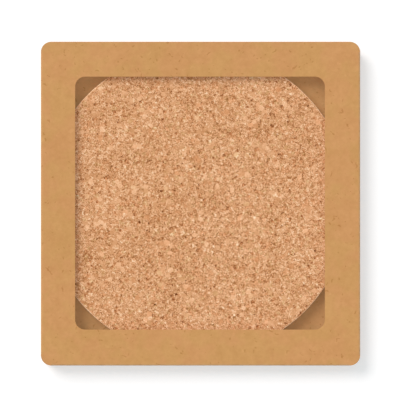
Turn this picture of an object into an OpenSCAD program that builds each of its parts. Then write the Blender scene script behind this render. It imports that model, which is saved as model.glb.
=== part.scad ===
// Round cork drink coaster in a folded kraft-card pocket with a square window.
// The pocket lies on its back card: +Z points out of the window, +Y out of the open mouth.
// The origin is the middle of the back card's underside. All sizes are in millimetres.

/* [Coaster] */
// Diameter of the cork disc
coaster_d = 95; // [80:0.5:110]
// Thickness of the cork disc
coaster_t = 3; // [2:0.25:6]
// Bevel round the disc's cut edges
coaster_bevel = 0.25; // [0.1:0.05:0.6]

/* [Card] */
// Thickness of the kraft card
card_t = 0.4; // [0.3:0.05:0.7]
// Inside radius of every crease
crease_r = 0.2; // [0.1:0.05:0.4]
// Radius of the outer corners of the front panel and the back card
corner_r = 3.2; // [1.5:0.1:6]

/* [Pocket] */
// Inside width of the pocket beyond the disc's diameter
side_play = 2.8; // [1.5:0.1:6]
// Inside length of the pocket beyond the disc's diameter
end_play = 4.6; // [3:0.1:10]
// Room between the disc and the front panel
head_gap = 1.4; // [0.2:0.05:2]
// Room between the disc and the flaps that it slides on
seat_gap = 0.05; // [0.02:0.01:0.2]

/* [Coaster at rest] */
// Gap between the disc and the left wall
rest_side_gap = 0.2; // [0.2:0.1:1.2]
// Gap between the disc and the bottom wall
rest_end_gap = 2.4; // [0.3:0.1:2.6]

/* [Window] */
// Width of the front border beside the left wall
border_left = 10.6; // [6:0.1:16]
// Width of the front border beside the right wall
border_right = 10.9; // [6:0.1:16]
// Width of the front border at the mouth
border_mouth = 10.8; // [6:0.1:16]
// Width of the front border beside the bottom wall
border_bottom = 11.1; // [6:0.1:16]
// Radius of the window's corners
window_r = 3.1; // [1:0.1:8]

/* [Glue flaps] */
// Width of a flap from its crease to its free edge
flap_w = 8.5; // [5:0.5:15]
// Width of a glue strip
glue_w = 4; // [2:0.5:5]
// Thickness of a glue strip
glue_t = 0.1; // [0.05:0.05:0.3]
// Room between a glue strip's end and the corner of the flap's free edge
glue_end_gap = 4; // [1:0.5:10]

/* [Hidden] */

$fn = 96;
kraft = "#cc9861";
kraft_back = "#c6935e";
cork = "#d79f72";
glue = "#e9dcc0";

// How far a cut runs past the edge that it opens
overrun = 1;

// Outside radius of every crease
bend_r = crease_r + card_t;

// Outside width and length of the pocket: a wall on both sides, but only one at the bottom
pocket_w = coaster_d + side_play + 2 * card_t;
pocket_l = coaster_d + end_play + card_t;

// Heights of the layers, from the back card up
flap_z = card_t + glue_t;
coaster_z = flap_z + card_t + seat_gap;
front_z = coaster_z + coaster_t + head_gap;
pocket_t = front_z + card_t;

// Half the outside span at each wall, and the length of its crease between the round corners
side_half = pocket_w / 2;
bottom_half = pocket_l / 2;
side_crease_l = pocket_l - 2 * corner_r;
bottom_crease_l = pocket_w - 2 * corner_r;

// Where the middle of the disc lies at rest
coaster_r = coaster_d / 2;
coaster_x = card_t + rest_side_gap + coaster_r - side_half;
coaster_y = card_t + rest_end_gap + coaster_r - bottom_half;

// Opening of the window and its middle
window_w = pocket_w - border_left - border_right;
window_l = pocket_l - border_mouth - border_bottom;
window_x = (border_left - border_right) / 2;
window_y = (border_bottom - border_mouth) / 2;

// Rectangle with round corners, about the origin
module rounded_rectangle(width, length, radius) {
  square([width - 2 * radius, length], center = true);
  square([width, length - 2 * radius], center = true);
  for (x = [-1, 1], y = [-1, 1])
    translate([x * (width / 2 - radius), y * (length / 2 - radius)])
      circle(radius);
}

// Every folded piece is drawn at the left wall's place, and then put on its own side.
module on_right() {
  mirror([1, 0, 0]) children();
}

module on_bottom() {
  rotate([0, 0, 90]) children();
}

// Strip of a panel's edge that the bend of a crease takes up
module crease_strip(half, length) {
  translate([-half - overrun, -length / 2])
    square([bend_r + overrun, length]);
}

// Quarter ring of card in the first quadrant, by its outside radius
module quarter_ring(radius) {
  intersection() {
    difference() {
      circle(radius);
      circle(radius - card_t);
    }
    square(radius);
  }
}

// Section of a wall, from the flap's crease up to the front panel's crease
module wall_section(half) {
  translate([-half, flap_z + bend_r])
    square([card_t, pocket_t - flap_z - 2 * bend_r]);
  translate([bend_r - half, pocket_t - bend_r])
    rotate(90) quarter_ring(bend_r);
  translate([bend_r - half, flap_z + bend_r])
    rotate(180) quarter_ring(bend_r);
}

// Wall that is folded down from the front panel
module wall(half, length) {
  rotate([90, 0, 0])
    linear_extrude(length, center = true) wall_section(half);
}

// End of a side wall's strip, bent round the corner to the bottom wall between front and back
module corner_tab() {
  translate([corner_r - side_half, corner_r - bottom_half, card_t])
    linear_extrude(front_z - card_t)
      rotate(180) quarter_ring(corner_r);
}

// Flap that is folded in under the disc, mitred to keep clear of its neighbour
module flap(half, length) {
  crease_x = bend_r - half;
  translate([0, 0, flap_z])
    linear_extrude(card_t)
      polygon([
        [crease_x, -length / 2],
        [crease_x + flap_w, flap_w - length / 2],
        [crease_x + flap_w, length / 2 - flap_w],
        [crease_x, length / 2]
      ]);
}

// Strip of glue, round at both ends, under the middle of a flap
module glue_strip(half, length) {
  straight_l = length - 2 * flap_w - 2 * glue_end_gap - glue_w;
  translate([bend_r + flap_w / 2 - half, 0, card_t])
    linear_extrude(glue_t) {
      square([glue_w, straight_l], center = true);
      for (y = [-1, 1])
        translate([0, y * straight_l / 2]) circle(glue_w / 2);
    }
}

module front_panel() {
  color(kraft)
    translate([0, 0, front_z])
      linear_extrude(card_t)
        difference() {
          rounded_rectangle(pocket_w, pocket_l, corner_r);
          translate([window_x, window_y])
            rounded_rectangle(window_w, window_l, window_r);
          crease_strip(side_half, side_crease_l);
          on_right() crease_strip(side_half, side_crease_l);
          on_bottom() crease_strip(bottom_half, bottom_crease_l);
        }
}

module left_wall() {
  color(kraft) wall(side_half, side_crease_l);
}

module right_wall() {
  color(kraft) on_right() wall(side_half, side_crease_l);
}

module bottom_wall() {
  color(kraft) on_bottom() wall(bottom_half, bottom_crease_l);
}

module left_corner_tab() {
  color(kraft) corner_tab();
}

module right_corner_tab() {
  color(kraft) on_right() corner_tab();
}

module left_flap() {
  color(kraft_back) flap(side_half, side_crease_l);
}

module right_flap() {
  color(kraft_back) on_right() flap(side_half, side_crease_l);
}

module bottom_flap() {
  color(kraft_back) on_bottom() flap(bottom_half, bottom_crease_l);
}

module left_glue_strip() {
  color(glue) glue_strip(side_half, side_crease_l);
}

module right_glue_strip() {
  color(glue) on_right() glue_strip(side_half, side_crease_l);
}

module bottom_glue_strip() {
  color(glue) on_bottom() glue_strip(bottom_half, bottom_crease_l);
}

module back_card() {
  color(kraft_back)
    linear_extrude(card_t)
      rounded_rectangle(pocket_w, pocket_l, corner_r);
}

module cork_coaster() {
  color(cork)
    translate([coaster_x, coaster_y, coaster_z])
      rotate_extrude()
        polygon([
          [0, 0],
          [coaster_r - coaster_bevel, 0],
          [coaster_r, coaster_bevel],
          [coaster_r, coaster_t - coaster_bevel],
          [coaster_r - coaster_bevel, coaster_t],
          [0, coaster_t]
        ]);
}

front_panel();
left_wall();
right_wall();
bottom_wall();
left_corner_tab();
right_corner_tab();
left_flap();
right_flap();
bottom_flap();
left_glue_strip();
right_glue_strip();
bottom_glue_strip();
back_card();
cork_coaster();
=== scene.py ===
import math
import random

import bmesh
import bpy
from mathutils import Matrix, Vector, noise
from mathutils.geometry import delaunay_2d_cdt


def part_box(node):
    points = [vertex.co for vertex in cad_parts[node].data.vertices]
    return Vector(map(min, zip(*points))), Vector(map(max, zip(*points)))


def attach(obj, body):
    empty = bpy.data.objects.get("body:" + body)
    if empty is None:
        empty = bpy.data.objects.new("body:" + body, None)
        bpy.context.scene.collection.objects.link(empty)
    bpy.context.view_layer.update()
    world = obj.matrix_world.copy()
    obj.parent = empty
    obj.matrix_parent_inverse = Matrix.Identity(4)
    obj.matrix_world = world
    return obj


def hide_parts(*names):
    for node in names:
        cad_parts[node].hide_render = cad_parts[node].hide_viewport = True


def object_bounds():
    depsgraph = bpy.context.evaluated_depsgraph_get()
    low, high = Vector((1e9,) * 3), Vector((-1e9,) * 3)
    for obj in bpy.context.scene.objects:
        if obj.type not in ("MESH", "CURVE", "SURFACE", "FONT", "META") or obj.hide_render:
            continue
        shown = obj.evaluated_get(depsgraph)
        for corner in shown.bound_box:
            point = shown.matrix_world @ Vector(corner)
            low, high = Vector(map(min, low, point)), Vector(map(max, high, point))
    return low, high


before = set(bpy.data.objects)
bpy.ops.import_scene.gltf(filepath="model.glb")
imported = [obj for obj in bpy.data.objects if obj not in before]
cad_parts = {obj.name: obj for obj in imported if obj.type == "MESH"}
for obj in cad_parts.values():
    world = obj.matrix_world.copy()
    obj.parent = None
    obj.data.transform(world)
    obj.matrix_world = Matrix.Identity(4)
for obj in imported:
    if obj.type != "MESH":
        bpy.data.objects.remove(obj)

cadBox = [list(corner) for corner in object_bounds()]
mm = 0.001
noiseRange = (0.3, 0.7)  # where most of a noise lies
facing = 0.9  # share of a normal along an axis that it faces
sceneNow = bpy.context.scene
sceneNow.view_settings.view_transform = "Standard"


# small helpers for node trees

def toLinear(level):
    level /= 255
    return level / 12.92 if level <= 0.04045 else ((level + 0.055) / 1.055) ** 2.4


def paint(red, green, blue):  # a colour as picked on screen, 0 to 255
    return (toLinear(red), toLinear(green), toLinear(blue), 1.0)


def feed(tree, value, socket):  # links a socket, or sets a plain value
    if isinstance(value, bpy.types.NodeSocket):
        tree.links.new(value, socket)
    else:
        socket.default_value = value


def put(tree, kind, settings=None, **sockets):
    node = tree.nodes.new(kind)
    for name, value in (settings or {}).items():
        setattr(node, name, value)
    for name, value in sockets.items():
        feed(tree, value, node.inputs[name])
    return node


def math2(tree, operation, first, second=0.0, third=None, clamp=False):
    node = put(tree, "ShaderNodeMath", {"operation": operation, "use_clamp": clamp})
    for index, value in enumerate((first, second, third)):
        if value is not None:
            feed(tree, value, node.inputs[index])
    return node.outputs[0]


def vectorMath(tree, operation, *values):
    node = put(tree, "ShaderNodeVectorMath", {"operation": operation})
    for index, value in enumerate(values):
        feed(tree, value, node.inputs[index])
    return node.outputs[0]


def span(tree, value, low, high, toLow=0.0, toHigh=1.0, smooth=False):
    node = put(tree, "ShaderNodeMapRange", {"clamp": True})
    node.interpolation_type = "SMOOTHSTEP" if smooth else "LINEAR"
    for index, given in enumerate((value, low, high, toLow, toHigh)):
        feed(tree, given, node.inputs[index])
    return node.outputs[0]


def blendColour(tree, factor, first, second, way="MIX"):
    node = put(tree, "ShaderNodeMix", {"data_type": "RGBA", "blend_type": way})
    feed(tree, factor, node.inputs[0])
    feed(tree, first, node.inputs[6])
    feed(tree, second, node.inputs[7])
    return node.outputs[2]


def noiseAt(tree, place, scale, detail=2.0, roughness=0.5):
    node = put(tree, "ShaderNodeTexNoise", Vector=place, Scale=scale, Detail=detail, Roughness=roughness)
    return node.outputs[0]


def stored(tree, name):  # a value that the mesh carries
    return put(tree, "ShaderNodeAttribute", {"attribute_name": name}).outputs["Fac"]


def newGroup(name, inputs, outputs, kind="ShaderNodeTree"):
    tree = bpy.data.node_groups.new(name, kind)
    for label, sort, value in inputs:
        socket = tree.interface.new_socket(name=label, in_out="INPUT", socket_type="NodeSocket" + sort)
        if value is not None:
            socket.default_value = value
    for label, sort in outputs:
        tree.interface.new_socket(name=label, in_out="OUTPUT", socket_type="NodeSocket" + sort)
    return tree, tree.nodes.new("NodeGroupInput").outputs, tree.nodes.new("NodeGroupOutput").inputs


def useGroup(tree, group, **sockets):
    node = tree.nodes.new("ShaderNodeGroup")
    node.node_tree = group
    for name, value in sockets.items():
        feed(tree, value, node.inputs[name])
    return node.outputs


def newMaterial(name, shine):
    material = bpy.data.materials.new(name)
    material.use_nodes = True
    tree = material.node_tree
    shader = tree.nodes["Principled BSDF"]
    shader.inputs["Specular IOR Level"].default_value = shine
    return material, tree, shader


def dress(tree, shader, colour, roughness, height, strength, depth):  # depth of the relief in mm
    relief = put(tree, "ShaderNodeBump", Strength=strength, Distance=depth * mm, Height=height)
    tree.links.new(colour, shader.inputs["Base Color"])
    tree.links.new(roughness, shader.inputs["Roughness"])
    tree.links.new(relief.outputs[0], shader.inputs["Normal"])


def millimetres(tree):  # Object coordinates, counted in millimetres
    place = tree.nodes.new("ShaderNodeTexCoord").outputs["Object"]
    return put(tree, "ShaderNodeMapping", Vector=place, Scale=(1 / mm, 1 / mm, 1 / mm)).outputs[0]


def bendPlace(tree, place, scale, reach):  # pushes coordinates about, so that what reads them wanders
    push = put(tree, "ShaderNodeTexNoise", Vector=place, Scale=scale, Detail=2.0).outputs["Color"]
    return vectorMath(tree, "MULTIPLY_ADD", push, (reach, reach, reach), place)


def turnPlace(tree, place, angle):
    turned = put(tree, "ShaderNodeVectorRotate", {"rotation_type": "Z_AXIS"}, Vector=place, Angle=angle)
    return turned.outputs[0]


# camera: straight down on the front, up in the picture is +Y

cameraSetup = {
    "frameWidth": 123.53,  # what 400 pixels cover at the front face, mm
    "distance": 1200.0,  # above the front face, mm
    "middle": (-0.16, 1.13),  # what the picture's middle looks at, mm
    "sensor": 36.0,  # mm
    "clip": (0.05, 20.0),  # nearest and farthest, m
}


def setCamera(setup):
    data = bpy.data.cameras.new("lookDown")
    data.sensor_width = setup["sensor"]
    data.lens = data.sensor_width * setup["distance"] / setup["frameWidth"]
    data.clip_start, data.clip_end = setup["clip"]
    camera = bpy.data.objects.new("lookDown", data)
    across, along = setup["middle"]
    camera.location = (across * mm, along * mm, cadBox[1][2] + setup["distance"] * mm)
    sceneNow.collection.objects.link(camera)
    sceneNow.camera = camera


# light: a soft key from the upper left, a small lamp at the camera, and an even fill

lightSetup = {
    "keyShare": 0.36,  # of the light on a level surface; the three shares make 1
    "topShare": 0.31,
    "fillShare": 0.33,
    "keyHeight": 39.0,  # over the horizon, degrees
    "keyHeading": 135.0,  # where the key stands, degrees from +X towards +Y
    "keyWidth": 42.0,  # angle that the lamp fills, degrees
    "topSize": 15.0,  # mm
}


def addLamp(name, kind, energy):
    data = bpy.data.lights.new(name, kind)
    data.energy = energy
    lamp = bpy.data.objects.new(name, data)
    sceneNow.collection.objects.link(lamp)
    return lamp


def setLight(setup):
    height, heading = math.radians(setup["keyHeight"]), math.radians(setup["keyHeading"])
    flat = math.cos(height)
    toKey = Vector((flat * math.cos(heading), flat * math.sin(heading), math.sin(height)))
    key = addLamp("keyLamp", "SUN", math.pi * setup["keyShare"] / toKey.z)
    key.data.angle = math.radians(setup["keyWidth"])
    key.rotation_euler = toKey.to_track_quat("Z", "Y").to_euler()

    away = cameraSetup["distance"] * mm
    top = addLamp("topLamp", "POINT", 4 * math.pi ** 2 * setup["topShare"] * away ** 2)
    top.data.shadow_soft_size = setup["topSize"] * mm
    top.location = sceneNow.camera.location

    world = bpy.data.worlds.new("paleRoom")
    sceneNow.world = world
    world.use_nodes = True
    tree = world.node_tree
    back = tree.nodes["Background"]
    feed(tree, (1, 1, 1, 1), back.inputs["Color"])
    feed(tree, span(tree, seenPlain(tree), 0, 1, setup["fillShare"], 1.0), back.inputs["Strength"])


def seenPlain(tree):  # 1 where the camera sees a thing itself, or in a reflection or through glass
    path = tree.nodes.new("ShaderNodeLightPath").outputs
    both = math2(tree, "MAXIMUM", path["Is Camera Ray"], path["Is Glossy Ray"])
    return math2(tree, "MAXIMUM", both, path["Is Transmission Ray"])


# floor: white where it is lit, with the part's shadow on it

floorSetup = {
    "half": 2.0,  # m
    "drop": 0.04,  # under the part, mm
    "bounce": (0.85, 0.85, 0.85),  # its colour for the light that it throws back
    "shade": (0.99, 0.90, 0.86),  # how much of its own shading the picture shows
    "sum": 1.11,  # what that and the glow make together, so that the lit floor comes out white
}


def setFloor(setup):
    half, height = setup["half"], -setup["drop"] * mm
    mesh = bpy.data.meshes.new("paleFloor")
    corners = [(-half, -half, height), (half, -half, height), (half, half, height), (-half, half, height)]
    mesh.from_pydata(corners, [], [(0, 1, 2, 3)])
    floor = bpy.data.objects.new("paleFloor", mesh)
    sceneNow.collection.objects.link(floor)
    material = bpy.data.materials.new("paleFloor")
    material.use_nodes = True
    tree = material.node_tree
    tree.nodes.remove(tree.nodes["Principled BSDF"])
    rest = [setup["sum"] - part for part in setup["shade"]]
    plain = put(tree, "ShaderNodeBsdfDiffuse", Color=(*setup["bounce"], 1))
    shown = put(tree, "ShaderNodeBsdfDiffuse", Color=(*setup["shade"], 1))
    glow = put(tree, "ShaderNodeEmission", Color=(*rest, 1), Strength=1.0)
    both = tree.nodes.new("ShaderNodeAddShader")
    tree.links.new(shown.outputs[0], both.inputs[0])
    tree.links.new(glow.outputs[0], both.inputs[1])
    pick = tree.nodes.new("ShaderNodeMixShader")
    tree.links.new(seenPlain(tree), pick.inputs[0])
    tree.links.new(plain.outputs[0], pick.inputs[1])
    tree.links.new(both.outputs[0], pick.inputs[2])
    tree.links.new(pick.outputs[0], tree.nodes["Material Output"].inputs["Surface"])
    mesh.materials.append(material)


setCamera(cameraSetup)
setLight(lightSetup)
setFloor(floorSetup)
print("camera, light and floor set")


# shader groups that several finishes share

def makeFleckGroup():
    # scattered spots: Share of the cells hold one, each Size cells wide, drawn out by Stretch at Angle
    smallest = 0.45  # of the largest spot
    tree, given, result = newGroup(
        "fleckScatter",
        [
            ("Vector", "Vector", None),
            ("Spacing", "Float", 3.0),
            ("Share", "Float", 0.3),
            ("Size", "Float", 0.2),
            ("Stretch", "Float", 1.0),
            ("Angle", "Float", 0.0),
            ("Core", "Float", 0.55),
        ],
        [("Mask", "Float")],
    )
    turned = turnPlace(tree, given["Vector"], given["Angle"])
    squeeze = math2(tree, "DIVIDE", 1.0, given["Stretch"])
    drawn = put(tree, "ShaderNodeCombineXYZ", X=squeeze, Y=1.0, Z=1.0).outputs[0]
    longer = vectorMath(tree, "MULTIPLY", turned, drawn)
    rate = math2(tree, "DIVIDE", 1.0, given["Spacing"])
    cells = put(tree, "ShaderNodeTexVoronoi", {"voronoi_dimensions": "3D"}, Vector=longer, Scale=rate)
    parts = put(tree, "ShaderNodeSeparateColor", Color=cells.outputs["Color"]).outputs
    chosen = math2(tree, "LESS_THAN", parts[0], given["Share"])
    reach = math2(tree, "MULTIPLY", given["Size"], span(tree, parts[1], 0, 1, smallest, 1.0))
    core = math2(tree, "MULTIPLY", reach, given["Core"])
    spot = span(tree, cells.outputs["Distance"], reach, core, smooth=True)
    feed(tree, math2(tree, "MULTIPLY", spot, chosen), result["Mask"])
    return tree


hairShape = {
    "squeeze": (0.35, 1.6, 1.6),  # draws the hairs out along X
    "waveScale": 0.9,
    "waveBend": 0.25,
    "patchScale": 0.55,  # where hairs show at all
    "patchFade": 0.08,
}


def makeHairGroup(shape):
    # thin wavy hairs that run along Angle, left out over most of the sheet
    tree, given, result = newGroup(
        "fibreHairs",
        [
            ("Vector", "Vector", None),
            ("Angle", "Float", 0.0),
            ("Width", "Float", 0.1),
            ("Share", "Float", 0.4),
        ],
        [("Mask", "Float")],
    )
    turned = turnPlace(tree, given["Vector"], given["Angle"])
    drawn = vectorMath(tree, "MULTIPLY", turned, shape["squeeze"])
    wave = put(
        tree, "ShaderNodeTexNoise",
        Vector=drawn, Scale=shape["waveScale"], Detail=1.0, Distortion=shape["waveBend"],
    )
    off = math2(tree, "ABSOLUTE", math2(tree, "SUBTRACT", wave.outputs[0], 0.5))
    line = span(tree, off, math2(tree, "MULTIPLY", given["Width"], 0.25), 0.0, smooth=True)
    patch = noiseAt(tree, turned, shape["patchScale"], 1.0)
    edge = math2(tree, "SUBTRACT", 1.0, given["Share"])
    kept = span(tree, patch, edge, math2(tree, "ADD", edge, shape["patchFade"]))
    feed(tree, math2(tree, "MULTIPLY", line, kept), result["Mask"])
    return tree


fleckScatter = makeFleckGroup()
fibreHairs = makeHairGroup(hairShape)


# kraft card: two close browns in soft patches, fine hairs, darker and paler flecks, longer fibres

kraftFibreSetup = {
    "patchScale": 0.12,  # of the two browns
    "patchEdge": (0.42, 0.58),  # from all warm to all sandy
    "grainScale": 1.1,
    "grainSwing": 0.04,
    "mottle": ((0.07, 0.014), (0.26, 0.030), (0.55, 0.040)),  # scale and swing, clouds to small patches
    "hairs": ((0.35, 0.10), (1.4, 0.08), (2.5, 0.09)),  # angle and width
    "hairShare": 0.46,
    "hairTone": -0.035,
    "hairRise": 0.25,
    "bend": (0.35, 4.0),  # how the flecks wander: scale, and reach in mm
    "flecks": (  # angle, spacing in mm, share, size, stretch, tone
        (0.2, 2.0, 0.34, 0.20, 1.9, -0.24),
        (1.9, 1.9, 0.34, 0.20, 2.3, -0.20),
        (1.1, 1.7, 0.40, 0.21, 1.2, -0.22),
        (2.7, 2.1, 0.24, 0.24, 2.2, 0.07),
        (0.75, 2.6, 0.7, 0.15, 4.0, -0.24),  # longer fibres, two ways
        (2.2, 2.8, 0.7, 0.15, 4.0, -0.22),
    ),
    "fleckRise": 0.2,
    "tint": (0.75, 1.0, 1.5),  # how far a change of tone moves red, green and blue
    "roughness": (0.78, 0.92),
}


def makeKraftGroup(setup):
    tree, given, result = newGroup(
        "kraftFibre",
        [
            ("Vector", "Vector", None),
            ("Warm", "Color", None),
            ("Sandy", "Color", None),
            ("Contrast", "Float", 1.0),
        ],
        [("Color", "Color"), ("Height", "Float"), ("Roughness", "Float")],
    )
    place = given["Vector"]
    patches = noiseAt(tree, place, setup["patchScale"], 3.0, 0.6)
    colour = blendColour(tree, span(tree, patches, *setup["patchEdge"]), given["Warm"], given["Sandy"])
    grain = noiseAt(tree, place, setup["grainScale"], 4.0, 0.6)
    level = span(tree, grain, *noiseRange, -setup["grainSwing"], setup["grainSwing"])
    for scale, swing in setup["mottle"]:
        mottle = put(
            tree, "ShaderNodeTexNoise", {"noise_dimensions": "4D"}, Vector=place, W=scale, Scale=scale
        )
        level = math2(tree, "ADD", level, span(tree, mottle.outputs[0], *noiseRange, -swing, swing))
    height = math2(tree, "MULTIPLY", grain, 0.5)
    for angle, width in setup["hairs"]:
        hair = useGroup(
            tree, fibreHairs, Vector=place, Angle=angle, Width=width, Share=setup["hairShare"]
        )["Mask"]
        level = math2(tree, "MULTIPLY_ADD", hair, setup["hairTone"], level)
        height = math2(tree, "MULTIPLY_ADD", hair, setup["hairRise"], height)
    bent = bendPlace(tree, place, *setup["bend"])
    for angle, spacing, share, size, stretch, tone in setup["flecks"]:
        fleck = useGroup(
            tree, fleckScatter,
            Vector=bent, Angle=angle, Spacing=spacing, Share=share, Size=size, Stretch=stretch,
        )["Mask"]
        level = math2(tree, "MULTIPLY_ADD", fleck, tone, level)
        height = math2(tree, "MULTIPLY_ADD", fleck, setup["fleckRise"], height)
    level = math2(tree, "MULTIPLY", level, given["Contrast"])
    red, green, blue = [math2(tree, "MULTIPLY_ADD", level, share, 1.0) for share in setup["tint"]]
    shade = put(tree, "ShaderNodeCombineColor", Red=red, Green=green, Blue=blue).outputs[0]
    feed(tree, blendColour(tree, 1.0, colour, shade, "MULTIPLY"), result["Color"])
    feed(tree, height, result["Height"])
    feed(tree, span(tree, grain, *noiseRange, *setup["roughness"]), result["Roughness"])
    return tree


kraftFibre = makeKraftGroup(kraftFibreSetup)

kraftFinish = {
    "front": {"warm": (204, 149, 95), "sandy": (201.5, 151, 93), "contrast": 1.07, "bump": 0.35},
    "inside": {"warm": (202, 150, 98), "sandy": (197, 150, 98), "contrast": 1.1, "bump": 0.45},
    "cut": {"warm": (212, 164, 112), "sandy": (196, 146, 94), "contrast": 2.2, "bump": 0.8},
    "wornAndLitTone": (226, 182, 132),  # fold colour: pale from rubbing, and painted light that lifts the shade on bends turned from the lamp
    "wornAndLitScale": 0.8,  # the rubbing and the painted light come in short broken runs
    "wornAndLitEdge": (0.36, 0.66),
    "wornAndLitShare": (0.2, 0.75),
    "shine": 0.25,
    "relief": 0.06,  # mm
}


def kraftMaterial(name, look, finish, folded=False):
    material, tree, shader = newMaterial(name, finish["shine"])
    place = millimetres(tree)
    warm, sandy = paint(*look["warm"]), paint(*look["sandy"])
    kraft = useGroup(tree, kraftFibre, Vector=place, Warm=warm, Sandy=sandy, Contrast=look["contrast"])
    colour = kraft["Color"]
    if folded:
        # painted light on the folds, mixed with the rubbing: the pale fold colour goes where the stored fold
        # value says
        runs = noiseAt(tree, place, finish["wornAndLitScale"], 4.0, 0.65)
        share = span(tree, runs, *finish["wornAndLitEdge"], *finish["wornAndLitShare"])
        rubAndHighlight = math2(tree, "MULTIPLY", stored(tree, "foldWearAndPaintedLight"), share)
        colour = blendColour(tree, rubAndHighlight, colour, paint(*finish["wornAndLitTone"]))
    dress(tree, shader, colour, kraft["Roughness"], kraft["Height"], look["bump"], finish["relief"])
    return material


kraftFront = kraftMaterial("kraftFront", kraftFinish["front"], kraftFinish, folded=True)
kraftInside = kraftMaterial("kraftInside", kraftFinish["inside"], kraftFinish)
kraftCut = kraftMaterial("kraftCut", kraftFinish["cut"], kraftFinish)
print("kraft finishes made")


# cork finish: each granule keeps its own tone, with finer grains, chips, specks and dark gaps

corkFinish = {
    "tones": (  # from the gaps to the cream flakes: level and colour
        (0.0, (108, 54, 18)),
        (0.25, (177, 116, 68)),
        (0.5, (215, 157, 110)),
        (0.75, (242, 189, 145)),
        (1.0, (255, 226, 190)),
    ),
    "lift": 0.048,  # of the whole disc's level
    "bend": (0.9, 1.1),  # how the grains wander: scale, and reach in mm
    "granuleShare": 0.13,  # how much the modelled granules differ
    "chipArea": (1.3, 1.5),  # a granule this large is a flat chip, mm2
    "chipTone": (0.35, 1.0),  # which of the chips are paler
    "chipLift": 0.16,  # how much paler the palest of them are
    "chipRough": 0.34,  # how much of the fine grain shows on them
    "grainScale": 1.75,  # grains to the millimetre
    "grainShare": 0.25,  # how much the grains differ
    "crumbScale": 3.8,  # the same for the crumbs that the grains are made of
    "crumbShare": 0.50,
    "seam": (0.11, 0.03),  # dark gaps between grains, from their edge to their middle
    "seamTone": -0.15,
    "seamPatch": 0.8,  # scale of the patches that have such gaps
    "seamEdge": (0.40, 0.56),
    "dustScale": 5.5,
    "dustRange": (0.25, 0.75),
    "dustShare": 0.32,
    "cloudScale": 0.09,
    "cloudShare": 0.035,
    "spots": (  # spacing in mm, share, size, stretch, angle, tone
        (1.5, 0.20, 0.24, 2.4, 0.6, 0.21),  # pale slivers
        (1.0, 0.18, 0.36, 1.5, 2.3, 0.15),  # pale flakes
        (2.3, 0.20, 0.22, 1.6, 1.3, 0.27),  # cream flakes
        (1.1, 0.14, 0.22, 1.4, 1.9, -0.42),  # painted shade of small pits
        (2.2, 0.22, 0.15, 3.6, 0.3, -0.19),  # cracks, two ways
        (2.2, 0.22, 0.15, 3.6, 1.7, -0.19),
    ),
    "spotCore": 0.8,
    "paintedPitShade": -0.15,  # painted shade in the modelled pits
    "rubAndHighlightShare": 0.72,  # how far the rim's edge goes towards its own pale level: partly rubbing, partly a painted highlight on the bevel
    "rubAndHighlightLevel": 0.94,
    "rubAndHighlightWidth": 0.38,  # mm
    "reddish": (1.0, 0.88, 0.80, 1),  # tint of the granules with a hue under reddishEnd
    "reddishEnd": 0.25,
    "greenish": (0.93, 1.0, 0.90, 1),  # and over greenishStart
    "greenishStart": 0.82,
    "tintShare": 0.8,
    "roughness": (0.95, 0.8),  # dark, pale
    "roughLevels": (0.2, 0.8),
    "shine": 0.15,
    "bump": 0.5,
    "relief": 0.12,  # mm
}


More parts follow.
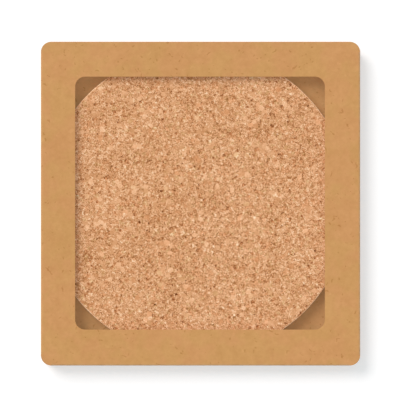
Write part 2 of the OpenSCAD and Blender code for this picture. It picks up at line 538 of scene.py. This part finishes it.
def corkMaterial(finish):
    material, tree, shader = newMaterial("corkGrain", finish["shine"])
    place = millimetres(tree)
    bent = bendPlace(tree, place, *finish["bend"])
    tone, hue = stored(tree, "granuleTone"), stored(tree, "granuleHue")
    chip = span(tree, stored(tree, "granuleArea"), *finish["chipArea"])

    fine = 0.0
    for part in ("grain", "crumb"):
        cells = put(tree, "ShaderNodeTexVoronoi", Vector=bent, Scale=finish[part + "Scale"])
        cellTone = put(tree, "ShaderNodeSeparateColor", Color=cells.outputs["Color"]).outputs[0]
        apart = math2(tree, "SUBTRACT", cellTone, 0.5)
        fine = math2(tree, "MULTIPLY_ADD", apart, finish[part + "Share"], fine)
    dust = noiseAt(tree, place, finish["dustScale"], 2.0, 0.7)
    dust = span(tree, dust, *finish["dustRange"], -1, 1)
    fine = math2(tree, "MULTIPLY_ADD", dust, finish["dustShare"] / 2, fine)
    edges = put(
        tree, "ShaderNodeTexVoronoi", {"feature": "DISTANCE_TO_EDGE"}, Vector=bent, Scale=finish["grainScale"]
    )
    patch = span(tree, noiseAt(tree, place, finish["seamPatch"]), *finish["seamEdge"])
    seam = math2(tree, "MULTIPLY", span(tree, edges.outputs["Distance"], *finish["seam"]), patch)
    fine = math2(tree, "MULTIPLY_ADD", seam, finish["seamTone"], fine)

    level = math2(tree, "MULTIPLY_ADD", math2(tree, "SUBTRACT", tone, 0.5), finish["granuleShare"], 0.5)
    rough = span(tree, chip, 0, 1, 1.0, finish["chipRough"])
    level = math2(tree, "MULTIPLY_ADD", fine, rough, level)
    paler = span(tree, tone, *finish["chipTone"], 0.0, finish["chipLift"])
    level = math2(tree, "MULTIPLY_ADD", chip, paler, level)
    cloud = span(tree, noiseAt(tree, place, finish["cloudScale"]), *noiseRange, -1, 1)
    level = math2(tree, "MULTIPLY_ADD", cloud, finish["cloudShare"], level)
    for spacing, share, size, stretch, angle, tint in finish["spots"]:
        spot = useGroup(
            tree, fleckScatter, Vector=bent, Spacing=spacing, Share=share, Size=size,
            Stretch=stretch, Angle=angle, Core=finish["spotCore"],
        )["Mask"]
        level = math2(tree, "MULTIPLY_ADD", spot, tint, level)
    # painted shade darkens the modelled pits
    level = math2(tree, "MULTIPLY_ADD", stored(tree, "granulePit"), finish["paintedPitShade"], level)
    level = math2(tree, "ADD", level, finish["lift"], clamp=True)
    # the rim's bevel is painted paler all round, partly rubbing, partly a painted highlight
    rubAndHighlight = math2(tree, "MULTIPLY", rubbedAndLitEdge(tree, place, finish["rubAndHighlightWidth"]), finish["rubAndHighlightShare"])
    level = math2(tree, "MULTIPLY_ADD", math2(tree, "SUBTRACT", finish["rubAndHighlightLevel"], level), rubAndHighlight, level)

    ramp = put(tree, "ShaderNodeValToRGB", Fac=level)
    stops = ramp.color_ramp.elements
    while len(stops) < len(finish["tones"]):
        stops.new(0.5)
    for stop, (at, shade) in zip(stops, finish["tones"]):
        stop.position = at
        stop.color = paint(*shade)
    redder = span(tree, hue, finish["reddishEnd"], 0.0, 0.0, finish["tintShare"])
    greener = span(tree, hue, finish["greenishStart"], 1.0, 0.0, finish["tintShare"])
    colour = blendColour(tree, redder, ramp.outputs[0], finish["reddish"], "MULTIPLY")
    colour = blendColour(tree, greener, colour, finish["greenish"], "MULTIPLY")
    roughness = span(tree, level, *finish["roughLevels"], *finish["roughness"])
    dress(tree, shader, colour, roughness, level, finish["bump"], finish["relief"])
    return material


def rubbedAndLitEdge(tree, place, width):
    # 1 along the disc's two edges, which are painted paler: partly rubbing, partly a painted highlight on the
    # bevel
    low, high = [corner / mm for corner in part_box("cork_coaster")]
    middle, half = (low + high) / 2, (high - low) / 2
    moved = vectorMath(tree, "SUBTRACT", place, middle)
    x, y, z = put(tree, "ShaderNodeSeparateXYZ", Vector=moved).outputs
    squared = math2(tree, "MULTIPLY_ADD", x, x, math2(tree, "MULTIPLY", y, y))
    reach = math2(tree, "SQRT", squared)
    outer = span(tree, reach, half.x - width, half.x - width / 2)
    face = span(tree, math2(tree, "ABSOLUTE", z), half.z - width, half.z - width / 2)
    return math2(tree, "MULTIPLY", outer, face)


corkGrain = corkMaterial(corkFinish)
print("cork finish made")


# cork disc: a skin of random triangles round the disc, turned into granules by Geometry Nodes

corkDisc = {
    "bevel": 0.25,  # round the cut edges, mm
    "coarse": (1.45, 420),  # room round a large chip, mm, and how many are tried for
    "fine": (0.56, 60000),  # the same for the small granules
    "edgeRoom": 0.45,  # kept free inside the rim, against a small granule's room
    "rimSteps": 360,  # granules round the rim
    "rimRows": 4,  # rows of granules down the rim, the outer two at the bevels
    "rimTurn": 0.28,  # how far they wander, in steps
    "rimLift": 0.14,  # the same up and down, mm
    "pitDepth": 0.16,  # mm
    "pitSize": 0.62,  # size of a pit's bottom against its mouth
    "pitShare": 0.05,  # share of the small granules that have fallen out
    "largestPit": 0.9,  # mm2
    "seed": 27,
}


def granuleSpots(radius, setup, draw):
    # dart throwing: large granules first, then small ones in what is left
    cell = setup["fine"][0]
    steps = int(math.ceil(setup["coarse"][0] / cell))
    taken = {}
    spots = []
    for room, tries in (setup["coarse"], setup["fine"]):
        for _ in range(tries):
            x, y = draw.uniform(-radius, radius), draw.uniform(-radius, radius)
            if math.hypot(x, y) > radius - setup["edgeRoom"] * cell:
                continue
            column, row = int(x // cell), int(y // cell)
            near = (
                other
                for i in range(column - steps, column + steps + 1)
                for j in range(row - steps, row + steps + 1)
                for other in taken.get((i, j), ())
            )
            if all(math.hypot(x - a, y - b) > (room + other) / 2 for a, b, other in near):
                taken.setdefault((column, row), []).append((x, y, room))
                spots.append((x, y))
    return spots


def rimRings(bm, radius, thick, setup, draw):
    # rings of corners from the lower face's edge up to the upper face's, in millimetres
    steps, rows, bevel = setup["rimSteps"], setup["rimRows"], setup["bevel"]
    low, high = -thick / 2, thick / 2
    straight = [low + bevel + (thick - 2 * bevel) * row / (rows - 1) for row in range(rows)]
    rings = []
    for row, height in enumerate([low, *straight, high]):
        reach = radius - bevel if row in (0, rows + 1) else radius
        ring = []
        for step in range(steps):
            wander = draw.uniform(-setup["rimTurn"], setup["rimTurn"])
            turn = 2 * math.pi * (step + row % 2 / 2 + wander) / steps
            lift = draw.uniform(-setup["rimLift"], setup["rimLift"]) if 1 < row < rows else 0
            ring.append(bm.verts.new((reach * math.cos(turn), reach * math.sin(turn), height + lift)))
        rings.append(ring)
    return rings


def corkSkin(radius, thick, setup):
    # closed skin in millimetres about the disc's middle
    draw = random.Random(setup["seed"])
    steps = setup["rimSteps"]
    bm = bmesh.new()
    rings = rimRings(bm, radius, thick, setup, draw)
    for row, (lower, upper) in enumerate(zip(rings, rings[1:])):
        for step in range(steps):
            after = (step + 1) % steps
            if row % 2:  # the odd rows stand half a step on
                bm.faces.new((lower[step], upper[after], upper[step]))
                bm.faces.new((lower[step], lower[after], upper[after]))
            else:
                bm.faces.new((lower[step], lower[after], upper[step]))
                bm.faces.new((lower[after], upper[after], upper[step]))
    for ring, height in ((rings[0], -thick / 2), (rings[-1], thick / 2)):
        spots = granuleSpots(radius - setup["bevel"], setup, draw)
        flat = [Vector((v.co.x, v.co.y)) for v in ring] + [Vector(spot) for spot in spots]
        border = [(i, (i + 1) % steps) for i in range(steps)]
        points, _, faces, origins, _, _ = delaunay_2d_cdt(flat, border, [], 1, 1e-6)
        verts = []
        for point, origin in zip(points, origins):
            known = origin and origin[0] < steps
            verts.append(ring[origin[0]] if known else bm.verts.new((point.x, point.y, height)))
        for face in faces:
            bm.faces.new([verts[i] for i in face])
    bmesh.ops.recalc_face_normals(bm, faces=bm.faces)
    return bm


def keep(tree, geometry, name, value):  # stores a value on every face
    settings = {"data_type": "FLOAT", "domain": "FACE"}
    node = put(tree, "GeometryNodeStoreNamedAttribute", settings, Geometry=geometry, Name=name, Value=value)
    return node.outputs[0]


def granuleTree():
    # every corner of the skin becomes a granule with its own tone, and some small ones have fallen out
    tree, given, result = newGroup(
        "corkGranules",
        [
            ("Skin", "Geometry", None),
            ("Pit Depth", "Float", 0.0001),
            ("Pit Size", "Float", 0.6),
            ("Pit Share", "Float", 0.1),
            ("Largest Pit", "Float", 1e-6),
            ("Seed", "Int", 1),
            ("Finish", "Material", None),
        ],
        [("Granules", "Geometry")],
        "GeometryNodeTree",
    )
    cells = put(tree, "GeometryNodeDualMesh", Mesh=given["Skin"]).outputs[0]
    area = put(tree, "GeometryNodeInputMeshFaceArea").outputs[0]
    draws = []
    for step in range(3):
        draw = put(tree, "FunctionNodeRandomValue", {"data_type": "FLOAT"})
        feed(tree, math2(tree, "ADD", given["Seed"], step), draw.inputs["Seed"])
        draws.append(draw.outputs[1])
    cells = keep(tree, cells, "granuleTone", draws[0])
    cells = keep(tree, cells, "granuleHue", draws[1])
    cells = keep(tree, cells, "granuleArea", math2(tree, "MULTIPLY", area, 1 / mm ** 2))
    chosen = math2(tree, "LESS_THAN", draws[2], given["Pit Share"])
    small = math2(tree, "LESS_THAN", area, given["Largest Pit"])
    pits = put(tree, "GeometryNodeExtrudeMesh", {"mode": "FACES"}, Mesh=cells, Individual=True)
    feed(tree, math2(tree, "MULTIPLY", chosen, small), pits.inputs["Selection"])
    feed(tree, math2(tree, "MULTIPLY", given["Pit Depth"], -1.0), pits.inputs["Offset Scale"])
    narrowed = put(tree, "GeometryNodeScaleElements", {"domain": "FACE"}, Geometry=pits.outputs["Mesh"])
    feed(tree, pits.outputs["Top"], narrowed.inputs["Selection"])
    feed(tree, given["Pit Size"], narrowed.inputs["Scale"])
    sunk = math2(tree, "MAXIMUM", pits.outputs["Top"], pits.outputs["Side"])
    cells = keep(tree, narrowed.outputs[0], "granulePit", sunk)
    real = put(tree, "GeometryNodeRealizeInstances", Geometry=cells)
    finish = put(tree, "GeometryNodeSetMaterial", Geometry=real.outputs[0], Material=given["Finish"])
    feed(tree, finish.outputs[0], result["Granules"])
    return tree


def applyTree(piece, tree, values):
    # runs the tree on the piece and keeps its result as a plain mesh
    modifier = piece.modifiers.new(tree.name, "NODES")
    modifier.node_group = tree
    for socket in tree.interface.items_tree:
        if socket.in_out == "INPUT" and socket.name in values:
            modifier[socket.identifier] = values[socket.name]
    graph = bpy.context.evaluated_depsgraph_get()
    result = piece.evaluated_get(graph)
    mesh = bpy.data.meshes.new_from_object(result, preserve_all_data_layers=True, depsgraph=graph)
    piece.modifiers.clear()
    piece.data = mesh
    mesh.name = piece.name


bakeLayout = {
    "half": 0.245,  # half the width of a face on the map
    "middles": ((0.25, 0.745), (0.75, 0.745)),  # lower face, upper face
    "strips": 4,  # that the rim is cut into
    "stripLeft": 0.02,
    "stripWidth": 0.96,
    "stripLow": 0.03,
    "stripPitch": 0.1,
    "stripHeight": 0.04,
    "rimDrop": 0.35,  # a rim granule's middle lies this far inside the two faces, mm
    "rimReach": 0.8,  # and this near to the disc's radius, mm
}


def bakeMap(mesh, middle, radius, thick, layout):
    # the two faces side by side, and the rim in strips under them
    layer = mesh.uv_layers.new(name="OFBake")
    whole, count = 2 * math.pi, layout["strips"]
    for face in mesh.polygons:
        out = face.center - middle
        between = abs(out.z) < thick / 2 - layout["rimDrop"] * mm
        onRim = between and math.hypot(out.x, out.y) > radius - layout["rimReach"] * mm
        turn = math.atan2(out.y, out.x)
        strip = min(int((turn / whole + 0.5) * count), count - 1)
        faceU, faceV = layout["middles"][1 if out.z > 0 else 0]
        for loop in face.loop_indices:
            at = mesh.vertices[mesh.loops[loop].vertex_index].co - middle
            if onRim:
                here = math.atan2(at.y, at.x)
                here += whole * round((turn - here) / whole)
                along = (here / whole + 0.5) * count - strip
                up = layout["stripPitch"] * strip + layout["stripHeight"] * (at.z / thick + 0.5)
                spot = (layout["stripLeft"] + layout["stripWidth"] * along, layout["stripLow"] + up)
            else:
                scale = layout["half"] / radius
                spot = (faceU + scale * at.x, faceV + scale * at.y)
            layer.data[loop].uv = spot


def makeCorkDisc(setup):
    lowest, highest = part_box("cork_coaster")
    middle = (lowest + highest) / 2
    radius = (highest.x - lowest.x) / 2
    thick = highest.z - lowest.z
    bm = corkSkin(radius / mm, thick / mm, setup)
    for vert in bm.verts:
        vert.co = vert.co * mm + middle
    mesh = bpy.data.meshes.new("corkDisc")
    bm.to_mesh(mesh)
    bm.free()
    piece = bpy.data.objects.new("corkDisc", mesh)
    sceneNow.collection.objects.link(piece)
    values = {
        "Pit Depth": setup["pitDepth"] * mm,
        "Pit Size": setup["pitSize"],
        "Pit Share": setup["pitShare"],
        "Largest Pit": setup["largestPit"] * mm * mm,
        "Seed": setup["seed"],
        "Finish": corkGrain,
    }
    applyTree(piece, granuleTree(), values)
    bakeMap(piece.data, middle, radius, thick, bakeLayout)
    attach(piece, "coaster")
    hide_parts("cork_coaster")
    print("cork disc:", sum(len(face.vertices) - 2 for face in piece.data.polygons), "triangles")


makeCorkDisc(corkDisc)


# card pieces: flat die-cut plates with softened edges, and folded walls

def nodeSize(node, axis):  # of a CAD node, mm
    low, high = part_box(node)
    return (high[axis] - low[axis]) / mm


cardStock = {
    "thick": nodeSize("back_card", 2),  # mm, as all lengths here
    "cornerRadius": nodeSize("left_corner_tab", 0),  # outer corners
    "bend": nodeSize("left_wall", 0),  # outside radius of a crease
    "borders": (10.6, 10.9, 11.1, 10.8),  # left, right, bottom, mouth
    "windowRadius": 3.1,
    "flapWidth": nodeSize("left_flap", 0),
    "foldWearAndPaintedLight": {"left": 0.05, "right": 1.1, "bottom": 1.15},  # how far each side's folds are made paler: partly rubbing, mostly painted light, strongest on the right and bottom folds that turn away from the lamp
    "crush": 0.022,  # how far a fold's skin is pressed in
    "crushRate": (0.9, 3),  # how fast that changes, along the fold and up
    "crushRise": 0.7,  # up and down, against sideways
    "edgeRound": 0.07,  # softening of a cut edge
    "arcSteps": 12,  # in a quarter turn of an outline
    "bendSteps": 8,  # in a crease
    "sharpAngle": 50,  # degrees
    "near": 0.01,  # a corner this near to a crease is on it
}


def roundedOutline(left, right, bottom, top, radius, steps):
    # four corner runs, anticlockwise from the lower right one, in millimetres
    middles = [
        (right - radius, bottom + radius, -90),
        (right - radius, top - radius, 0),
        (left + radius, top - radius, 90),
        (left + radius, bottom + radius, 180),
    ]
    corners = []
    for x, y, start in middles:
        turns = [math.radians(start + 90 * step / steps) for step in range(steps + 1)]
        corners.append([(x + radius * math.cos(turn), y + radius * math.sin(turn)) for turn in turns])
    return corners


def edgeRows(bm, points, soft, low, high, isHole):
    # rows of corners round a cut edge, from the lower face over the edge to the upper face
    count = len(points)
    slant = 0.293  # where the middle of a rounding lies
    lower = ((0.0, 1.0, 0), (slant, slant, 0), (1.0, 0.0, 0))  # lift, inset, whether on the upper face
    upper = ((1.0, 0.0, 1), (slant, slant, 1), (0.0, 1.0, 1))
    steps = lower + upper
    rows = [[] for _ in steps]
    for i, (x, y) in enumerate(points):
        here = Vector((x, y))
        before = (here - Vector(points[i - 1])).normalized()
        after = (Vector(points[(i + 1) % count]) - here).normalized()
        outBefore, outAfter = Vector((before.y, -before.x)), Vector((after.y, -after.x))
        out = (outBefore + outAfter) / (1 + outBefore.dot(outAfter))
        if isHole:
            out = -out
        size = cardStock["edgeRound"] * soft[i]
        for row, (lift, inset, isUpper) in zip(rows, steps):
            at = here - out * size * inset
            height = high - size * lift * mm if isUpper else low + size * lift * mm
            row.append(bm.verts.new((at.x * mm, at.y * mm, height)))
    for first, second in zip(rows, rows[1:]):
        for i in range(count):
            j = (i + 1) % count
            bm.faces.new((first[i], first[j], second[j], second[i]))
    return rows[0], rows[-1]


def cutPlate(name, corners, low, high, faceFinish, window=None, creased=None):
    # a flat die-cut plate: corners holds the outline in four runs, and window the same for a hole
    bm = bmesh.new()
    faces = []
    for runs, isHole in ((corners, False), (window, True)):
        if runs:
            points = [point for run in runs for point in run]
            soft = [0.0 if creased and creased(*point) else 1.0 for point in points]
            faces.append(edgeRows(bm, points, soft, low, high, isHole))
    for level in (0, 1):
        if not window:
            bm.faces.new(faces[0][level])
            continue
        outer, inner = splitRuns(faces[0][level], corners), splitRuns(faces[1][level], window)
        for i in range(4):
            j = (i + 1) % 4
            bm.faces.new(outer[i] + inner[i][::-1])
            bm.faces.new((outer[i][-1], outer[j][0], inner[j][0], inner[i][-1]))
    return finishPiece(name, bm, faceFinish, kraftCut, lambda face: abs(face.normal.z) < facing)


def splitRuns(ring, runs):
    parts, at = [], 0
    for run in runs:
        parts.append(ring[at:at + len(run)])
        at += len(run)
    return parts


def finishPiece(name, bm, faceFinish, cutFinish, isCut):
    bmesh.ops.remove_doubles(bm, verts=bm.verts, dist=1e-7)
    bmesh.ops.recalc_face_normals(bm, faces=bm.faces)
    for face in bm.faces:
        face.material_index = int(isCut(face))
    mesh = bpy.data.meshes.new(name)
    bm.to_mesh(mesh)
    bm.free()
    mesh.materials.append(faceFinish)
    mesh.materials.append(cutFinish)
    piece = bpy.data.objects.new(name, mesh)
    sceneNow.collection.objects.link(piece)
    return piece


def seat(piece, node):
    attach(piece, "holder")
    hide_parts(node)


def makeFrontPanel(stock):
    low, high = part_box("front_panel")
    left, bottom, right, top = low.x / mm, low.y / mm, high.x / mm, high.y / mm
    steps, corner, bend = stock["arcSteps"], stock["cornerRadius"], stock["bend"]
    lowRight, highRight, highLeft, lowLeft = roundedOutline(left, right, bottom, top, corner, steps)
    # the three creased sides step in by the bend between the round corners
    corners = [
        [(right - corner, bottom + bend), *lowRight, (right - bend, bottom + corner)],
        [(right - bend, top - corner), *highRight],
        [*highLeft, (left + bend, top - corner)],
        [(left + bend, bottom + corner), *lowLeft, (left + corner, bottom + bend)],
    ]
    a, b, c, d = stock["borders"]
    window = roundedOutline(left + a, right - b, bottom + c, top - d, stock["windowRadius"], steps)

    def creased(x, y):
        return min(abs(x - left - bend), abs(x - right + bend), abs(y - bottom - bend)) < stock["near"]

    piece = cutPlate("frontPanel", corners, low.z, high.z, kraftFront, window, creased)
    seat(piece, "front_panel")


def makeBackCard(stock):
    low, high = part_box("back_card")
    left, bottom, right, top = low.x / mm, low.y / mm, high.x / mm, high.y / mm
    corners = roundedOutline(left, right, bottom, top, stock["cornerRadius"], stock["arcSteps"])
    piece = cutPlate("backCard", corners, low.z, high.z, kraftInside)
    seat(piece, "back_card")


# every folded piece is drawn on the left side, and turned to its own
sides = {
    "left": lambda x, y: (x, y),
    "right": lambda x, y: (-x, -y),
    "bottom": lambda x, y: (-y, x),
}


def sideSpan(node, side):  # how far out the node reaches, and its length
    low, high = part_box(node)
    if side == "bottom":
        return -low.y / mm, (high.x - low.x) / mm
    return max(-low.x, high.x) / mm, (high.y - low.y) / mm


def wallSection(half, bottom, top, stock):
    # outer and inner line of a wall, from the front panel's crease down to the flap's
    bend, steps = stock["bend"], stock["bendSteps"]
    outer, inner = [], []
    for start, height in ((90, top - bend), (180, bottom + bend)):
        for step in range(steps + 1):
            turn = math.radians(start + 90 * step / steps)
            for path, radius in ((outer, bend), (inner, bend - stock["thick"])):
                path.append((bend - half + radius * math.cos(turn), height + radius * math.sin(turn)))
    return outer, inner


def makeWall(side, stock):
    node = side + "_wall"
    low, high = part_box(node)
    half, length = sideSpan(node, side)
    bottom, top = low.z / mm, high.z / mm
    centre = (bottom + top) / 2
    outer, inner = wallSection(half, bottom, top, stock)
    section = outer + inner[::-1]
    steps, count, stations = stock["bendSteps"], len(section), int(length)
    alongRate, upRate = stock["crushRate"]
    bm = bmesh.new()
    foldWearAndPaintedLight = bm.verts.layers.float.new("foldWearAndPaintedLight")
    rows = []
    for station in range(stations + 1):
        along = length * (station / stations - 0.5)
        row = []
        for index, (x, z) in enumerate(section):
            step = index % (steps + 1)
            crush, wearAndLift = 0.0, 0.0
            if index < len(outer) and 0 < step < steps:  # the bends' skin is a little crushed, and paler from rubbing and from painted light
                crush = stock["crush"] * abs(noise.noise((along * alongRate, z * upRate, half)))
                # painted light and rubbing: the bend's paleness, set per side
                wearAndLift = stock["foldWearAndPaintedLight"][side] * math.sin(math.pi * step / steps)
            rise = stock["crushRise"] * (crush if z < centre else -crush)
            px, py = sides[side](x + crush, along)
            vert = bm.verts.new((px * mm, py * mm, (z + rise) * mm))
            vert[foldWearAndPaintedLight] = wearAndLift
            row.append(vert)
        rows.append(row)
    for first, second in zip(rows, rows[1:]):
        for i in range(count):
            j = (i + 1) % count
            bm.faces.new((first[i], first[j], second[j], second[i])).smooth = True
    for row in (rows[0], rows[-1]):
        for i in range(len(outer) - 1):
            bm.faces.new((row[i], row[i + 1], row[count - 2 - i], row[count - 1 - i]))
    axis = 0 if side == "bottom" else 1
    piece = finishPiece(side + "Wall", bm, kraftFront, kraftCut, lambda face: abs(face.normal[axis]) > facing)
    piece.data.set_sharp_from_angle(angle=math.radians(stock["sharpAngle"]))
    seat(piece, node)


def makeCornerTab(side, stock):
    # the end of a side wall's strip, bent round the corner to the bottom wall
    node = side + "_corner_tab"
    low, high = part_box(node)
    outer, steps = stock["cornerRadius"], stock["arcSteps"]
    inner = outer - stock["thick"]
    start = 180 if side == "left" else 270
    middleX = low.x / mm + outer if side == "left" else high.x / mm - outer
    middleY = low.y / mm + outer
    bm = bmesh.new()
    rows = []
    for step in range(steps + 1):
        turn = math.radians(start + 90 * step / steps)
        row = []
        for radius, height in ((outer, low.z), (outer, high.z), (inner, high.z), (inner, low.z)):
            x, y = middleX + radius * math.cos(turn), middleY + radius * math.sin(turn)
            row.append(bm.verts.new((x * mm, y * mm, height)))
        rows.append(row)
    for first, second in zip(rows, rows[1:]):
        for i in range(4):
            j = (i + 1) % 4
            bm.faces.new((first[i], second[i], second[j], first[j])).smooth = True
    ends = [bm.faces.new(rows[0]), bm.faces.new(rows[-1])]

    def isCut(face):
        return face in ends or abs(face.normal.z) > facing

    piece = finishPiece(side + "CornerTab", bm, kraftFront, kraftCut, isCut)
    piece.data.set_sharp_from_angle(angle=math.radians(stock["sharpAngle"]))
    seat(piece, node)


def makeFlap(side, stock):
    node = side + "_flap"
    low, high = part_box(node)
    half, length = sideSpan(node, side)
    width = stock["flapWidth"]
    corners = [
        (-half, -length / 2),
        (width - half, width - length / 2),
        (width - half, length / 2 - width),
        (-half, length / 2),
    ]
    corners = [[sides[side](x, y)] for x, y in corners]

    def creased(x, y):
        reach = -y if side == "bottom" else abs(x)
        return abs(reach - half) < stock["near"]

    piece = cutPlate(side + "Flap", corners, low.z, high.z, kraftInside, None, creased)
    seat(piece, node)


makeFrontPanel(cardStock)
makeBackCard(cardStock)
for sideName in sides:
    makeWall(sideName, cardStock)
    makeFlap(sideName, cardStock)
for sideName in ("left", "right"):
    makeCornerTab(sideName, cardStock)
print("card pieces made")


# glue strips: squeezed flat between flap and back card, so their edges wander

glueBead = {
    "edgeWander": 0.35,  # how far the edge comes in, against half the width
    "edgeRate": 0.25,  # how fast that changes
    "step": 1.0,  # along the edge, mm
    "endSteps": 10,  # round an end
    "smearScale": 0.5,
    "smearEdge": (0.35, 0.65),  # from pale to dull
    "pale": (236, 224, 198),
    "dull": (222, 200, 160),
    "bubbles": {"Spacing": 0.9, "Share": 0.3, "Size": 0.3},
    "bubble": (246, 240, 224),
    "bubbleShare": 0.5,
    "roughness": (0.4, 0.6),
    "shine": 0.4,
    "bump": 0.3,
    "relief": 0.05,  # mm
}


def glueMaterial(bead):
    material, tree, shader = newMaterial("dryGlue", bead["shine"])
    place = millimetres(tree)
    smear = noiseAt(tree, place, bead["smearScale"], 3.0)
    dull = span(tree, smear, *bead["smearEdge"])
    colour = blendColour(tree, dull, paint(*bead["pale"]), paint(*bead["dull"]))
    bubbles = useGroup(tree, fleckScatter, Vector=place, **bead["bubbles"])["Mask"]
    shown = math2(tree, "MULTIPLY", bubbles, bead["bubbleShare"])
    colour = blendColour(tree, shown, colour, paint(*bead["bubble"]))
    roughness = span(tree, smear, *noiseRange, *bead["roughness"])
    dress(tree, shader, colour, roughness, bubbles, bead["bump"], bead["relief"])
    return material


dryGlue = glueMaterial(glueBead)


def makeGlueStrip(side, bead):
    node = side + "_glue_strip"
    low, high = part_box(node)
    middle = (low + high) / 2
    across = min(high.x - low.x, high.y - low.y) / mm / 2
    length = max(high.x - low.x, high.y - low.y) / mm
    straight = length / 2 - across
    steps, runs = bead["endSteps"], int(2 * straight / bead["step"])
    outline = []
    for end in (1, -1):
        for step in range(steps + 1):
            turn = math.radians(180 * step / steps)
            outline.append((end * across * math.cos(turn), end * (straight + across * math.sin(turn))))
        for run in range(1, runs):
            outline.append((-end * across, end * (straight - 2 * straight * run / runs)))
    points = []
    for x, y in outline:
        wave = noise.noise((x, y * bead["edgeRate"], middle.x * 100))  # each strip wanders its own way
        x *= 1 - bead["edgeWander"] * (0.5 + 0.5 * wave)
        if side == "bottom":
            x, y = -y, x
        points.append((x + middle.x / mm, y + middle.y / mm))
    bm = bmesh.new()
    lower = [bm.verts.new((x * mm, y * mm, low.z)) for x, y in points]
    upper = [bm.verts.new((x * mm, y * mm, high.z)) for x, y in points]
    for i in range(len(points)):
        j = (i + 1) % len(points)
        bm.faces.new((lower[i], lower[j], upper[j], upper[i]))
    bm.faces.new(lower)
    bm.faces.new(upper)
    piece = finishPiece(side + "GlueStrip", bm, dryGlue, dryGlue, lambda face: abs(face.normal.z) < facing)
    seat(piece, node)


for sideName in sides:
    makeGlueStrip(sideName, glueBead)
print("glue strips made")
